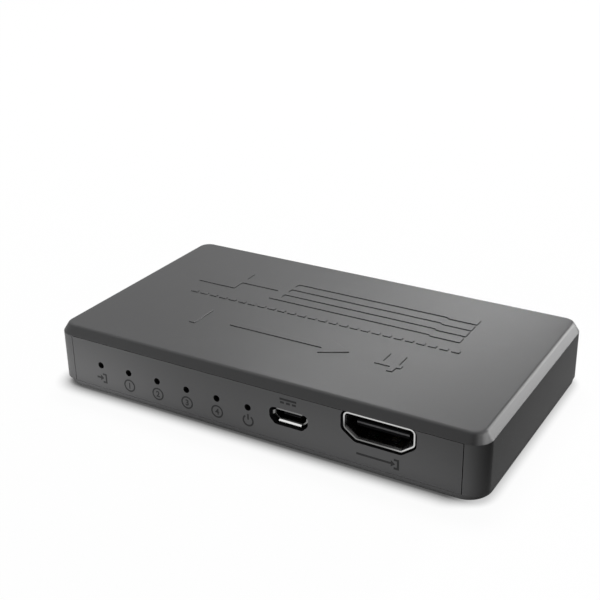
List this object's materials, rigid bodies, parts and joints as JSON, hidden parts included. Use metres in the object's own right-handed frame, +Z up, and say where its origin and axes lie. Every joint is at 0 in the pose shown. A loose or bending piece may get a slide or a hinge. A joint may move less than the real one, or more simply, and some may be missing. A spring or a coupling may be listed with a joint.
{
  "type": "video signal splitter",
  "caption": "Flat grey video splitter box with a bevelled rim, indicator holes, a power inlet and an input socket in front, and a row of output sockets behind.",
  "frame": {"origin": "middle of the base, on the surface that it stands on", "axes": "+X to the right seen from the front, -Y to the front panel, +Z up"},
  "size_m": [0.1, 0.0566, 0.0146],
  "materials": {
    "case_plastic": "fine matt moulding",
    "socket_steel": "bright plated sheet",
    "socket_black": "black moulding",
    "contact_gold": "gold flash",
    "screw_steel": "zinc plated",
    "board": "green solder mask",
    "lamp_white": "white moulding",
    "lamp_clear": "clear resin",
    "chip_black": "black moulding",
    "tinned_lead": "tinned",
    "ferrite": "dark ferrite",
    "can_steel": "plated can",
    "can_aluminium": "bare can",
    "ceramic": "tan ceramic"
  },
  "bodies": {
    "root": {"top_cover": "case_plastic", "bottom_cover": "case_plastic", "front_panel": "case_plastic", "rear_panel": "case_plastic", "case_screws": "screw_steel", "circuit_board": "board", "lamp_windows": "lamp_clear", "splitter_chip": "chip_black", "splitter_chip_leads": "tinned_lead", "memory_chip": "chip_black", "memory_chip_leads": "tinned_lead", "voltage_regulator": "chip_black", "regulator_leads": "tinned_lead", "power_inductor": "ferrite", "crystal": "can_steel", "bulk_capacitors": "can_aluminium", "ceramic_capacitors": "ceramic", "resistors": "chip_black", "surge_arrays": "chip_black", "video_in_shell": "socket_steel", "video_in_tongue": "socket_black", "video_in_contacts": "contact_gold", "video_out_1_shell": "socket_steel", "video_out_1_tongue": "socket_black", "video_out_1_contacts": "contact_gold", "video_out_2_shell": "socket_steel", "video_out_2_tongue": "socket_black", "video_out_2_contacts": "contact_gold", "video_out_3_shell": "socket_steel", "video_out_3_tongue": "socket_black", "video_out_3_contacts": "contact_gold", "video_out_4_shell": "socket_steel", "video_out_4_tongue": "socket_black", "video_out_4_contacts": "contact_gold", "power_inlet_shell": "socket_steel", "power_inlet_tongue": "socket_black", "power_inlet_contacts": "contact_gold", "lamp_in": "lamp_white", "lamp_1": "lamp_white", "lamp_2": "lamp_white", "lamp_3": "lamp_white", "lamp_4": "lamp_white", "lamp_power": "lamp_white"}
  },
  "joints": []
}
